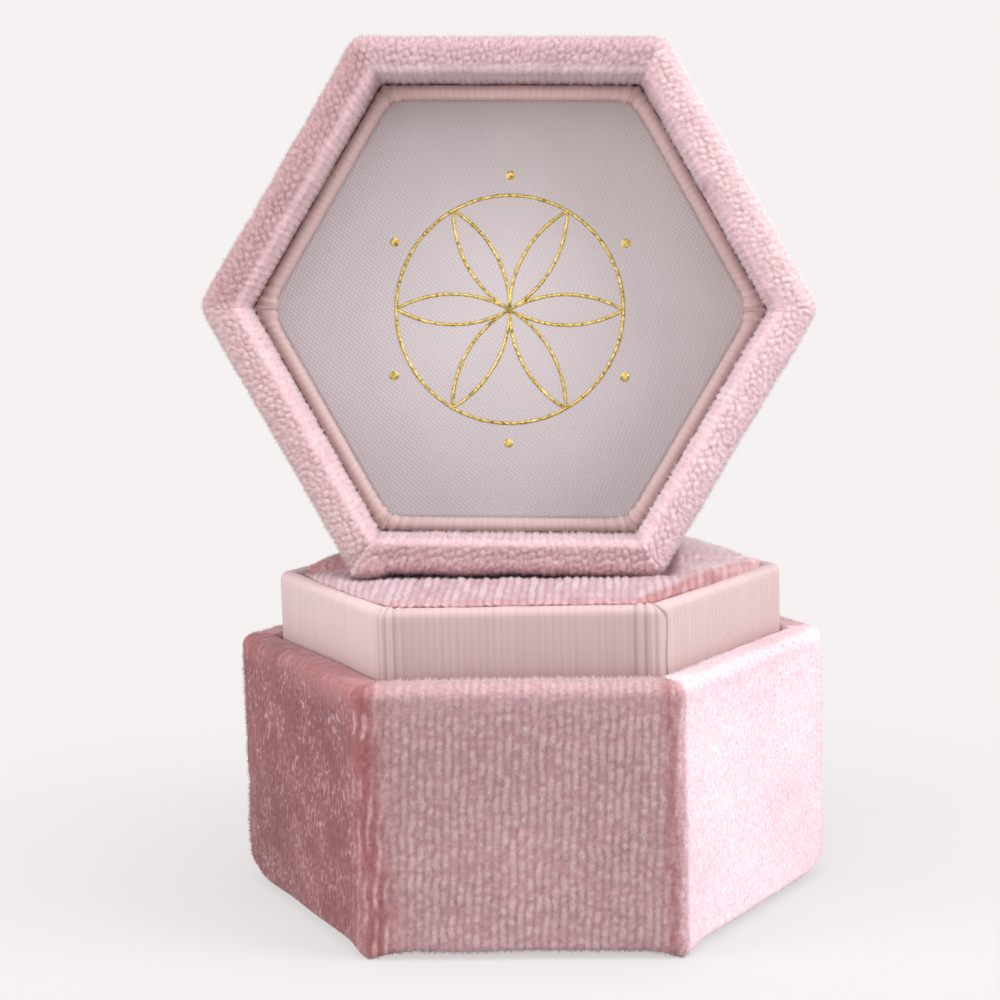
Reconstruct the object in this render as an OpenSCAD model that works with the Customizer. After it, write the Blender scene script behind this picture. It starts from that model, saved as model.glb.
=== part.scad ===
// Hexagonal velvet ring box with a lift-off lid.
// The base holds a ribbon-wrapped collar and a slotted ring pad. The lid is off, and stands on its
// edge on the pad, open side to the front, leaning back.
// Millimetres, +Z up, the front flat faces -Y, and the origin is at the centre of the underside.

/* [Box] */
// Width of the base and of the lid across their flats
box_width = 52.5; // [48:0.5:60]
// Height of the base up to its velvet rim
base_height = 25.7; // [22:0.1:32]
// Depth of the lid from its rim to its top
lid_depth = 17; // [16:0.5:24]

/* [Boards] */
// Thickness of the folded boards that make the walls
wall_board = 1.9; // [1.5:0.1:2.5]
// Thickness of the floor board and of the lid's top board
panel_board = 2; // [1.5:0.1:2]
// Thickness of the collar's card
collar_card = 1.3; // [0.8:0.1:1.6]
// Thickness of the cards under the ring pad and behind the satin
lining_card = 1.5; // [1:0.1:1.5]

/* [Velvet] */
// Thickness of the velvet on the walls
velvet = 1.1; // [0.8:0.1:1.4]
// Thickness of the velvet panels on the underside and on the lid's top
panel_velvet = 0.8; // [0.6:0.1:1]
// Thickness of the velvet turned in behind each rim
turn_in = 0.7; // [0.5:0.1:0.9]
// How far the velvet is turned in below each rim
turn_in_depth = 6; // [4:0.5:6.5]

/* [Collar] */
// How far the collar stands above the base's rim
collar_rise = 6.5; // [4:0.1:6.5]
// Thickness of the collar's ribbon
ribbon = 0.4; // [0.3:0.05:0.5]
// How far the ribbon is tucked below the base's rim
ribbon_tuck = 4; // [2:0.5:8]
// How far the ribbon is folded down inside the collar
ribbon_fold = 6; // [3:0.5:10]
// How far the ribbon's lapped end reaches past the front-right corner
lap_length = 2; // [1:0.5:12]
// Play between the collar and what it slides in
collar_play = 0.1; // [0.05:0.05:0.2]

/* [Ring pad] */
// How far the pad's top lies below the collar's top edge
pad_drop = 1.2; // [1.2:0.1:3]
// Gap between the pad and the collar, and between the pad and the floor board
pad_gap = 0.4; // [0.3:0.1:0.6]
// Width of the slot that grips the ring
slot_width = 0.8; // [0.6:0.1:1.2]
// Thickness of the velvet on the pad
pad_velvet = 0.8; // [0.6:0.1:1]

/* [Lid lining] */
// Depth of the trim ring's front edge behind the lid's rim
trim_depth = 7.2; // [7:0.1:8]
// Depth of the satin behind the lid's rim
satin_depth = 9; // [8.8:0.1:9.4]
// Thickness of the trim ring's card
trim_card = 0.75; // [0.6:0.05:0.9]
// Thickness of the trim ring's ribbon
trim_ribbon = 0.3; // [0.2:0.05:0.35]
// Thickness of the satin
satin = 0.3; // [0.2:0.05:0.4]

/* [Foil motif] */
// Radius of the six-petal motif
motif_radius = 11.5; // [8:0.5:13]
// Width of its lines
foil_line = 0.35; // [0.3:0.05:0.6]
// Thickness of the foil
foil = 0.12; // [0.08:0.01:0.2]
// Radius of its dots
dot_radius = 0.45; // [0.3:0.05:0.6]

/* [Where the lid stands] */
// Angle at which the lid leans back
lid_lean = 5; // [3:0.5:7]
// Angle by which the lid's left side is higher than its right side
lid_roll = 1.7; // [0:0.1:2]
// Angle by which the lid is turned about the vertical
lid_turn = 1.5; // [0:0.1:2]
// Centre of the lid's rim, sideways
lid_x = -1; // [-2:0.1:2]
// Centre of the lid's rim, front to back
lid_y = -8.4; // [-9:0.1:-7]
// Centre of the lid's rim, above the table
lid_z = 59.4; // [59.3:0.1:62]

/* [Hidden] */

// How far a cutter reaches past the solid it cuts
past = 1;
// Sides of a circle that is drawn as a true curve
round_sides = 96;
sides = 6;
flat_angle = 360 / sides;

// Half widths across flats, from the outside in
outer_half = box_width / 2;
board_half = outer_half - velvet;
cavity_half = board_half - wall_board;
opening_half = cavity_half - turn_in;
collar_half = opening_half - collar_play;
collar_card_half = collar_half - ribbon;
collar_fold_half = collar_card_half - collar_card;
collar_inner_half = collar_fold_half - ribbon;
pad_half = collar_inner_half - pad_gap;
pad_core_half = pad_half - pad_velvet;
trim_half = opening_half - collar_play;
trim_card_half = trim_half - trim_ribbon;
trim_fold_half = trim_card_half - trim_card;
trim_inner_half = trim_fold_half - trim_ribbon;
satin_half = trim_inner_half - collar_play;
lining_half = satin_half - satin;

// Heights in the base
floor_top = panel_velvet + panel_board;
collar_top = base_height + collar_rise;
pad_bottom = floor_top + pad_gap;
pad_card_top = pad_bottom + lining_card;
pad_top = collar_top - pad_drop;

// Depths in the lid, from its rim
lid_top_board_front = lid_depth - panel_velvet - panel_board;
panel_card_front = lid_top_board_front - lining_card;

velvet_color = "rosybrown";
ribbon_color = "mistyrose";
board_color = "tan";
foam_color = "ivory";

// A solid hexagon with flats to the front and back, standing on z = 0
module hexagon(half, height) {
    cylinder(h = height, r = half / cos(flat_angle / 2), $fn = sides);
}

// A hexagonal tube from height low to height high
module hex_tube(outer, inner, low, high) {
    translate([0, 0, low])
        difference() {
            hexagon(outer, high - low);
            translate([0, 0, -past])
                hexagon(inner, high - low + 2 * past);
        }
}

// A hexagonal plate from height low to height high
module hex_plate(half, low, high) {
    translate([0, 0, low])
        hexagon(half, high - low);
}

// Velvet round a wall that ends at height edge, turned over that edge and tucked in
module wrapped_velvet(edge, far) {
    inward = edge > far ? -1 : 1;
    edge_cover = edge + inward * velvet;
    tuck = edge + inward * turn_in_depth;
    hex_tube(outer_half, board_half, min(edge, far), max(edge, far));
    hex_tube(board_half, opening_half, min(edge, edge_cover), max(edge, edge_cover));
    hex_tube(cavity_half, opening_half, min(edge_cover, tuck), max(edge_cover, tuck));
}

// One half of a hexagonal block, in front of the slot or behind it
module half_block(half, low, high, setback, side) {
    intersection() {
        hex_plate(half, low, high);
        translate([-outer_half, side > 0 ? setback : -setback - outer_half * 2, low - past])
            cube([outer_half * 2, outer_half * 2, high - low + 2 * past]);
    }
}

module pad_foam(side) {
    half_block(pad_core_half, pad_card_top, pad_top - pad_velvet, slot_width / 2 + pad_velvet, side);
}

module pad_cover(side) {
    difference() {
        half_block(pad_half, pad_bottom, pad_top, slot_width / 2, side);
        half_block(pad_core_half, pad_bottom - past, pad_top - pad_velvet,
            slot_width / 2 + pad_velvet, side);
        hex_plate(pad_core_half, pad_bottom - past, pad_card_top);
    }
}

// Moves a piece of the lid from the closed lid's frame, rim at z = 0 and open side down, to where it stands
module standing() {
    translate([lid_x, lid_y, lid_z])
        rotate([-lid_lean, lid_roll, lid_turn])
            rotate([-90, 0, 0])
                children();
}

// A thin circle of foil in the plane
module foil_circle(radius) {
    difference() {
        circle(r = radius + foil_line / 2, $fn = round_sides);
        circle(r = radius - foil_line / 2, $fn = round_sides);
    }
}

module base_wall_board() {
    color(board_color)
        hex_tube(board_half, cavity_half, panel_velvet, base_height - velvet);
}

module base_floor_board() {
    color(board_color)
        hex_plate(cavity_half, panel_velvet, floor_top);
}

module base_side_velvet() {
    color(velvet_color)
        wrapped_velvet(base_height, 0);
}

module base_bottom_velvet() {
    color(velvet_color)
        hex_plate(board_half, 0, panel_velvet);
}

module collar_board() {
    color(board_color)
        hex_tube(collar_card_half, collar_fold_half, floor_top, collar_top - ribbon);
}

module collar_ribbon() {
    edge_length = 2 * collar_half * tan(flat_angle / 2);
    color(ribbon_color) {
        hex_tube(collar_half, collar_card_half, base_height - ribbon_tuck, collar_top);
        hex_tube(collar_card_half, collar_fold_half, collar_top - ribbon, collar_top);
        hex_tube(collar_fold_half, collar_inner_half, collar_top - ribbon_fold, collar_top);
        rotate([0, 0, -flat_angle / 2])
            translate([collar_card_half, -edge_length / 2, base_height])
                cube([ribbon * 1.5, lap_length, collar_rise]);
    }
}

module pad_card() {
    color(board_color)
        hex_plate(pad_core_half, pad_bottom, pad_card_top);
}

module pad_foam_front() {
    color(foam_color)
        pad_foam(-1);
}

module pad_foam_back() {
    color(foam_color)
        pad_foam(1);
}

module pad_velvet_front() {
    color(velvet_color)
        pad_cover(-1);
}

module pad_velvet_back() {
    color(velvet_color)
        pad_cover(1);
}

module lid_wall_board() {
    color(board_color)
        standing()
            hex_tube(board_half, cavity_half, velvet, lid_depth - panel_velvet);
}

module lid_top_board() {
    color(board_color)
        standing()
            hex_plate(cavity_half, lid_top_board_front, lid_depth - panel_velvet);
}

module lid_side_velvet() {
    color(velvet_color)
        standing()
            wrapped_velvet(0, lid_depth);
}

module lid_top_velvet() {
    color(velvet_color)
        standing()
            hex_plate(board_half, lid_depth - panel_velvet, lid_depth);
}

module lid_trim_board() {
    color(board_color)
        standing()
            hex_tube(trim_card_half, trim_fold_half, trim_depth + trim_ribbon, lid_top_board_front);
}

module lid_trim_ribbon() {
    color(ribbon_color)
        standing() {
            hex_tube(trim_half, trim_card_half, trim_depth, panel_card_front);
            hex_tube(trim_card_half, trim_fold_half, trim_depth, trim_depth + trim_ribbon);
            hex_tube(trim_fold_half, trim_inner_half, trim_depth, panel_card_front);
        }
}

module lid_panel_card() {
    color(board_color)
        standing()
            hex_plate(lining_half, panel_card_front, lid_top_board_front);
}

module lid_panel_foam() {
    color(foam_color)
        standing()
            hex_plate(lining_half, satin_depth + satin, panel_card_front);
}

module lid_satin() {
    color("thistle")
        standing() {
            hex_plate(satin_half, satin_depth, satin_depth + satin);
            hex_tube(satin_half, lining_half, satin_depth + satin, lid_top_board_front);
        }
}

// Six arcs struck from a circle with its own radius, with a dot between the petals' tips
module foil_motif() {
    dot_ring = motif_radius + 2;
    color("gold")
        standing()
            translate([0, 0, satin_depth - foil])
                linear_extrude(foil) {
                    foil_circle(motif_radius);
                    intersection() {
                        circle(r = motif_radius, $fn = round_sides);
                        union()
                            for (i = [0 : sides - 1])
                                rotate(i * flat_angle)
                                    translate([motif_radius, 0])
                                        foil_circle(motif_radius);
                    }
                    for (i = [0 : sides - 1])
                        rotate(i * flat_angle)
                            translate([0, dot_ring])
                                circle(r = dot_radius, $fn = round_sides);
                }
}

base_wall_board();
base_floor_board();
base_side_velvet();
base_bottom_velvet();
collar_board();
collar_ribbon();
pad_card();
pad_foam_front();
pad_foam_back();
pad_velvet_front();
pad_velvet_back();
lid_wall_board();
lid_top_board();
lid_side_velvet();
lid_top_velvet();
lid_trim_board();
lid_trim_ribbon();
lid_panel_card();
lid_panel_foam();
lid_satin();
foil_motif();
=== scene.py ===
"""The looks of a hexagonal velvet ring box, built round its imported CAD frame.

Shapes are made in millimetres and turned into metres when a mesh is made. The lid's pieces are made as on a
closed lid, rim at z = 0 and open side down, and then moved to where the lid stands.
"""

import itertools
from math import acos, atan2, ceil, cos, pi, radians, sin, sqrt, tan

import bpy
import numpy as np
from mathutils import Matrix, Vector
from numpy.linalg import norm


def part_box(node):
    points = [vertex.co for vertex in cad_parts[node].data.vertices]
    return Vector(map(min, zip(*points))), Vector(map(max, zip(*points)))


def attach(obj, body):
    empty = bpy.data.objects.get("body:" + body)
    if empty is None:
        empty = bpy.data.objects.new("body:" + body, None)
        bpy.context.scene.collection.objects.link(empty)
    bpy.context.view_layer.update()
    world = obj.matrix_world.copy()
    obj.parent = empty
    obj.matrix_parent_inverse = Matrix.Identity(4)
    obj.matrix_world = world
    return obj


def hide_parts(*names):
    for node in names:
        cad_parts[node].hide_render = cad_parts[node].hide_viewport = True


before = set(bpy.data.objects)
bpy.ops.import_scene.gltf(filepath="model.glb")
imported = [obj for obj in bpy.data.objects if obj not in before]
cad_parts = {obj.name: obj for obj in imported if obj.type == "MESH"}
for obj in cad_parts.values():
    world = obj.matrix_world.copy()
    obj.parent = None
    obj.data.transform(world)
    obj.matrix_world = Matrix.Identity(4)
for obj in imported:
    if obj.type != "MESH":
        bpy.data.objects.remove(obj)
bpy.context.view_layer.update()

MM = 0.001
T30 = tan(pi / 6)
C15, S15 = cos(pi / 12), sin(pi / 12)
UP = np.array([0, 0, 1.0])


# ---- sizes, in mm
def span(node):
    """A CAD node's lowest and highest corners."""
    return [np.round(np.array(corner) / MM, 2).tolist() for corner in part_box(node)]


def less(size, *parts):
    return round(size - sum(parts), 2)


# Half widths are across the flats, so each is read along y
_, (_, OUTER, BASE_HEIGHT) = span("base_side_velvet")
_, (_, BOARD, _) = span("base_wall_board")
_, (_, CAVITY, _) = span("base_floor_board")
_, (_, COLLAR, COLLAR_TOP) = span("collar_ribbon")
_, (_, COLLAR_CARD, _) = span("collar_board")
(_, HALF_SLOT, PAD_BOTTOM), (_, PAD, PAD_TOP) = span("pad_velvet_back")

# What the boxes don't say: how thick the cloths and cards are, and the tilted lid's depths from its rim
TURN_IN, TURN_IN_DEPTH = 0.7, 6.0
COLLAR_WALL, RIBBON, RIBBON_TUCK, RIBBON_FOLD = 1.3, 0.4, 4, 6
PAD_BULGE = 0.25
PLAY, TRIM_RIBBON, TRIM_WALL = 0.1, 0.3, 0.75
LID_DEPTH, TRIM_DEPTH, PANEL_CARD, SATIN_FACE = 17.0, 7.2, 12.7, 9.02

VELVET, OPENING = less(OUTER, BOARD), less(CAVITY, TURN_IN)
COLLAR_FOLD, COLLAR_INNER = less(COLLAR_CARD, COLLAR_WALL), less(COLLAR_CARD, COLLAR_WALL, RIBBON)
PAD_EDGE = less(PAD, -PAD_BULGE)
TRIM = less(OPENING, PLAY)
TRIM_CARD = less(TRIM, TRIM_RIBBON)
TRIM_FOLD = less(TRIM_CARD, TRIM_WALL)
TRIM_INNER = less(TRIM_FOLD, TRIM_RIBBON)
SATIN = less(TRIM_INNER, PLAY)
FACE = OUTER - 0.1  # the velvet's ground, just under its pile
PERIMETER = 12 * OUTER * T30
CORNER = PERIMETER / 12
SIDE, TIP = 2 * CORNER, 3 * CORNER

# The lid's place: a closed lid's frame to the row's frame. It stands on its edge on the pad, leaning back
LID_PLACE, LID_TURN, LID_ROLL, LID_LEAN = (-1.0, -8.4, 59.4), 1.5, 1.7, 5.0
LID = (
    Matrix.Translation(LID_PLACE)
    @ Matrix.Rotation(radians(LID_TURN), 4, "Z")
    @ Matrix.Rotation(radians(LID_ROLL), 4, "Y")
    @ Matrix.Rotation(radians(-LID_LEAN), 4, "X")
    @ Matrix.Rotation(radians(-90.0), 4, "X")
)
LID_M = np.array(LID)


# ---- numbers
def chance(seed):
    return np.random.default_rng(seed)


def whole(x):
    return np.floor(x).astype(np.int64)


def lattice(ix, iy, iz, seed):
    """A whole-number hash of a lattice point, from -1 to 1."""
    h = (ix * 374761393 + iy * 668265263 + iz * 1442695041 + seed * 97531) & 0xFFFFFFFF
    h = ((h ^ (h >> 13)) * 1274126177) & 0xFFFFFFFF
    h = ((h ^ (h >> 16)) * 668265263) & 0xFFFFFFFF
    return (h ^ (h >> 15)) / 2147483648.0 - 1.0


def noise(x, y=0.0, z=0.0, seed=1):
    """Smooth value noise from -1 to 1, one cell per unit."""
    x, y, z = np.broadcast_arrays(*(np.asarray(v, float) for v in (x, y, z)))
    ix, iy, iz = whole(x), whole(y), whole(z)
    u, v, w = ((t * t * (3 - 2 * t)) for t in (x - ix, y - iy, z - iz))
    total = 0.0
    for dx, dy, dz in itertools.product((0, 1), repeat=3):
        part = (u if dx else 1 - u) * (v if dy else 1 - v) * (w if dz else 1 - w)
        total = total + part * lattice(ix + dx, iy + dy, iz + dz, seed)
    return total


def fbm(x, y=0.0, z=0.0, seed=1, octaves=3):
    """Noise in octaves, each half the size and strength of the one before."""
    total, scale, size = 0.0, 1.0, 0.0
    for k in range(octaves):
        place = [np.asarray(v) * 2**k for v in (x, y, z)]
        total = total + noise(*place, seed + 17 * k) * scale
        size += scale
        scale *= 0.5
    return total / size * 1.4


def clouds(p, size, seed, octaves=3):
    """Noise in octaves over points, its largest lumps about size mm across."""
    return fbm(p[..., 0] / size, p[..., 1] / size, p[..., 2] / size, seed, octaves)


def cells(u, v, seed):
    """Rounded cells, one per unit: 0 in the creases between them, rising to about 1 at their middles."""
    fu, fv = whole(u), whole(v)
    first, second = np.full(np.shape(u), 9.0), np.full(np.shape(u), 9.0)
    for du, dv in itertools.product((-1, 0, 1), repeat=2):
        iu, iv = fu + du, fv + dv
        x = iu + 0.5 + 0.36 * lattice(iu, iv, 1, seed) - u
        y = iv + 0.5 + 0.36 * lattice(iu, iv, 2, seed) - v
        d = np.hypot(x, y)
        second = np.where(d < first, first, np.minimum(second, d))
        first = np.minimum(first, d)
    return np.clip((second - first) * 1.6, 0, 1)


def step(a, b, x):
    """0 up to a, 1 past b, and smooth between; b may be below a."""
    t = np.clip((x - a) / (b - a), 0, 1)
    return t * t * (3 - 2 * t)


def bell(x, centre, width):
    return np.exp(-(((x - centre) / width) ** 2))


def mix(a, b, t):
    t = np.asarray(t)[..., None]
    return np.asarray(a, float) * (1 - t) + np.asarray(b, float) * t


def times(v, share):
    """Colours or directions, each times its own share."""
    return v * share[..., None]


def unit(v):
    return v / np.maximum(norm(v, axis=-1), 1e-12)[..., None]


def outward(p):
    """Level directions away from the middle."""
    return unit(np.stack([p[..., 0], p[..., 1], 0 * p[..., 0]], -1))


def pushed(p, normals, push, shown):
    return p + normals * np.where(shown, push, 0)[..., None]


def srgb(*levels):
    c = np.array(levels, float) / 255
    return np.where(c <= 0.04045, c / 12.92, ((c + 0.055) / 1.055) ** 2.4)


def around(s):
    """The way round the box, in mm on its outer face from the middle of the front, negative to the left."""
    return (np.asarray(s) + PERIMETER / 2) % PERIMETER - PERIMETER / 2


def from_corner(s):
    """Distance along the perimeter to the nearest corner, signed."""
    return (np.asarray(s) + CORNER + SIDE / 2) % SIDE - SIDE / 2


def turning(s):
    """The way round as a point on a circle, which can be averaged where it starts again."""
    angle = 2 * pi * s / PERIMETER
    return np.stack([np.cos(angle), np.sin(angle)], -1)


def way_round(turnings):
    return around(np.arctan2(turnings[:, 1], turnings[:, 0]) / (2 * pi) * PERIMETER)


def half_width(p):
    """The half width, across the flats, of the hexagon that a place is on."""
    x, y = p[..., 0], p[..., 1]
    return np.max([x * cos(a) + y * sin(a) for a in np.radians(np.arange(-90, 270, 60))], axis=0)


# ---- meshes
def make(name, points, faces, body, material, tint=None, weave=None, lid=False):
    """A mesh object from points in mm, riding on a body."""
    points = np.asarray(points, float).reshape(-1, 3)
    groups = [np.asarray(f, np.int32) for f in (faces if isinstance(faces, list) else [faces])]
    sizes = np.concatenate([np.full(len(f), f.shape[1], np.int32) for f in groups])
    corners = np.concatenate([f.ravel() for f in groups])
    if lid:
        points = points @ LID_M[:3, :3].T + LID_M[:3, 3]
    mesh = bpy.data.meshes.new(name)
    mesh.vertices.add(len(points))
    mesh.vertices.foreach_set("co", (points * MM).astype(np.float32).ravel())
    mesh.loops.add(len(corners))
    mesh.loops.foreach_set("vertex_index", corners)
    mesh.polygons.add(len(sizes))
    starts = np.concatenate([[0], np.cumsum(sizes)[:-1]]).astype(np.int32)
    mesh.polygons.foreach_set("loop_start", starts)
    mesh.polygons.foreach_set("use_smooth", np.full(len(sizes), True))
    mesh.update(calc_edges=True)
    if tint is not None:
        tint = np.clip(np.asarray(tint, np.float32).reshape(-1, 3), 0, 1)
        tint = np.column_stack([tint, np.ones(len(tint), np.float32)])
        mesh.attributes.new("tint", "FLOAT_COLOR", "POINT").data.foreach_set("color", tint.ravel())
    if weave is not None:
        weave = np.asarray(weave, np.float32)
        mesh.attributes.new("weave", "FLOAT_VECTOR", "POINT").data.foreach_set("vector", weave.ravel())
    mesh.materials.append(material)
    obj = bpy.data.objects.new(name, mesh)
    bpy.context.scene.collection.objects.link(obj)
    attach(obj, body)
    return obj


def grid(rows, columns, closed_rows=False, closed_columns=True):
    """The quads of a grid of points, row by row. Where it is closed, its last points join its first."""
    i = np.arange(rows if closed_rows else rows - 1)
    j = np.arange(columns if closed_columns else columns - 1)
    i, j = np.meshgrid(i, j, indexing="ij")
    here, there = i * columns, (i + 1) % rows * columns
    beside = (j + 1) % columns
    return np.stack([here + j, here + beside, there + beside, there + j], -1).reshape(-1, 4)


OVER = [0, 3, 2, 1]  # turns a quad over


def outline(corners):
    """A closed outline, anticlockwise: its points (half width, height), its normals (out, up), and how far
    along it each point is. Each corner is (half width, height, fillet, step of the run that follows)."""
    rows, count, finest = [], len(corners), 0.35
    q = [np.array(c[:2], float) for c in corners]
    cut = []
    for i, c in enumerate(corners):
        a, b = q[i - 1] - q[i], q[(i + 1) % count] - q[i]
        a, b = a / norm(a), b / norm(b)
        angle = acos(max(-1, min(1, float(a @ b))))
        cut.append((a, b, angle, c[2] / tan(angle / 2)))
    for i, (_, _, fillet, run) in enumerate(corners):
        a, b, angle, reach = cut[i]
        if fillet > 0:
            middle = q[i] + (a + b) / norm(a + b) * fillet / sin(angle / 2)
            start, end = q[i] + a * reach - middle, q[i] + b * reach - middle
            pieces = max(3, int(ceil(fillet * (pi - angle) / min(run, finest))))
            first, last = atan2(start[1], start[0]), atan2(end[1], end[0])
            turn = (last - first + pi) % (2 * pi) - pi
            for k in range(pieces + 1):
                t = first + turn * k / pieces
                rows.append(middle + fillet * np.array([cos(t), sin(t)]))
        else:
            rows.append(q[i])
        following = (i + 1) % count
        here, there = q[i] + b * reach, q[following] + cut[following][0] * cut[following][3]
        pieces = max(1, int(ceil(norm(there - here) / run)))
        for k in range(1, pieces):
            rows.append(here + (there - here) * k / pieces)
    rows = np.array(rows)
    ahead = np.roll(rows, -1, 0) - np.roll(rows, 1, 0)
    ahead /= np.maximum(norm(ahead, axis=1), 1e-9)[:, None]
    length = np.concatenate([[0], np.cumsum(norm(np.diff(rows, axis=0), axis=1))])
    return rows, np.stack([ahead[:, 1], -ahead[:, 0]], 1), length


def hexagon_ring(half, radius, along, turn):
    """A rounded hexagon's points and normals, starting at the front face's left end. along is the number of
    points on each face, or on all of them, and turn the number on each corner."""
    points, normals = [], []
    reach = (half - radius) * T30
    along = np.broadcast_to(along, 6)
    for i in range(6):
        a = radians(-90 + 60 * i)
        n, e = np.array([cos(a), sin(a)]), np.array([-sin(a), cos(a)])
        for u in np.linspace(-1, 1, along[i] + 1)[:-1]:
            points.append(n * half + e * reach * u)
            normals.append(n)
        c = radians(-60 + 60 * i)
        middle = np.array([cos(c), sin(c)]) * (half - radius) / cos(pi / 6)
        for k in range(turn):
            t = a + pi / 3 * k / turn
            m = np.array([cos(t), sin(t)])
            points.append(middle + m * radius)
            normals.append(m)
    return np.array(points), np.array(normals)


def sweep(corners, edge_radius, outer_half, along, turn):
    """A closed skin round a hexagon, from an outline's corners. Gives points and normals, rows by columns,
    every point's way round s and way along the outline t, and quads."""
    least_radius = 0.35
    rows, row_normals, t = outline(corners)
    base, _ = hexagon_ring(outer_half, edge_radius, along, turn)
    lengths = norm(np.roll(base, -1, 0) - base, axis=1)
    s = np.concatenate([[0], np.cumsum(lengths)[:-1]])
    s = (s - (outer_half - edge_radius) * T30) / lengths.sum() * PERIMETER
    points, normals = [], []
    for (half, height), (out, up) in zip(rows, row_normals):
        radius = max(least_radius, edge_radius - (outer_half - half))
        p, n = hexagon_ring(half, radius, along, turn)
        points.append(np.column_stack([p, np.full(len(p), height)]))
        normals.append(np.column_stack([n * out, np.full(len(p), up)]))
    points, normals = np.array(points), np.array(normals)
    shape = points.shape[:2]
    s, t = np.broadcast_to(around(s), shape), np.broadcast_to(t[:, None], shape)
    return points, normals, s, t, grid(*shape, closed_rows=True)


def surface_normals(points, quads):
    """Smooth normals of a mesh of quads or triangles."""
    p = points.reshape(-1, 3)
    n = np.cross(p[quads[:, 2]] - p[quads[:, 0]], p[quads[:, -1]] - p[quads[:, 1]])
    out = np.zeros_like(p)
    for k in range(quads.shape[1]):
        np.add.at(out, quads[:, k], n)
    return out / np.maximum(norm(out, axis=1), 1e-12)[:, None]


def disc(half, radius, step_size, heights):
    """A hexagonal plate's points and quads: heights is a list of (half width, z) from the centre of one face,
    round the edge, to the centre of the other."""
    along = max(2, int(2 * half * T30 / step_size))
    rings = []
    for h, z in heights:
        h = max(h, 0.02)
        p, _ = hexagon_ring(h, max(0.005, min(radius, h * 0.5)), along, turn=4)
        rings.append(np.column_stack([p, np.full(len(p), z)]))
    points = np.array(rings)
    return points, grid(*points.shape[:2])


def sample(points, faces, density, seed, keep, values):
    """Random places on a mesh, density per mm2. keep says for each face whether it gets any, or its share.
    Gives positions, and each array of values there."""
    rng = chance(seed)
    p = points.reshape(-1, 3)
    tris = np.concatenate([faces[:, [0, 1, 2]], faces[:, [0, 2, 3]]])
    share = np.concatenate([keep, keep]).astype(float)
    a, b, c = (p[tris[:, k]] for k in range(3))
    area = norm(np.cross(b - a, c - a), axis=1) / 2
    want = area * share * density
    count = np.floor(want + rng.random(len(want))).astype(int)
    tri = np.repeat(np.arange(len(tris)), count)
    u, v = rng.random(len(tri)), rng.random(len(tri))
    flip = u + v > 1
    u[flip], v[flip] = 1 - u[flip], 1 - v[flip]
    weights, corners = np.stack([1 - u - v, u, v], 1), tris[tri]
    every = [p] + [value.reshape(len(p), -1) for value in values]
    return [np.einsum("nk,nkd->nd", weights, value[corners]) for value in every]


def strands(name, body, root, normal, comb, length, width, lift, colour, fade, lid=False):
    """Pile as thin tapered blades: each leans along comb, lifted by its angle from the surface. Its colour is
    dimmed by fade."""
    # the blades' roots are painted darker as the shade deep in the pile, and their tips painted lighter as
    # the light on them
    sink, root_painted_shade, tip_painted_light = 0.08, (0.9, 0.8, 0.81), 1.08
    tint = np.clip(times(colour, fade), 0, 1)
    comb = unit(comb - np.sum(comb * normal, 1)[:, None] * normal)
    across = np.cross(comb, normal) * (width / 2)[:, None]
    direction = comb * np.cos(lift)[:, None] + normal * np.sin(lift)[:, None]
    foot = root - normal * sink
    points = np.stack([foot - across, foot + across, foot + direction * length[:, None]], 1)
    shade = np.stack([tint * root_painted_shade, tint * root_painted_shade, np.clip(tint * tip_painted_light, 0, 1)], 1)
    tris = np.arange(len(root) * 3).reshape(-1, 3)
    obj = make(name, points, tris, body, PILE, shade, lid=lid)
    # the pile is shaded as the nap it makes, more than as single blades
    lie = unit(normal + 0.2 * direction)
    if lid:
        lie = lie @ LID_M[:3, :3].T
    obj.data.normals_split_custom_set_from_vertices(np.repeat(lie, 3, 0).astype(np.float32))


# ---- materials
class Tree:
    """Short ways to build a tree of nodes."""

    def __init__(self, owner):
        owner.use_nodes = True
        self.tree = owner.node_tree
        self.tree.nodes.clear()

    def new(self, kind, sockets=(), **settings):
        """A node with its settings made, and its sockets set or linked."""
        node = self.tree.nodes.new("ShaderNode" + kind)
        for key, value in settings.items():
            setattr(node, key, value)
        for socket, value in dict(sockets).items():
            self.put(node, socket, value)
        return node

    def put(self, node, socket, value):
        if isinstance(value, bpy.types.NodeSocket):
            self.tree.links.new(value, node.inputs[socket])
        else:
            node.inputs[socket].default_value = value


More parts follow.
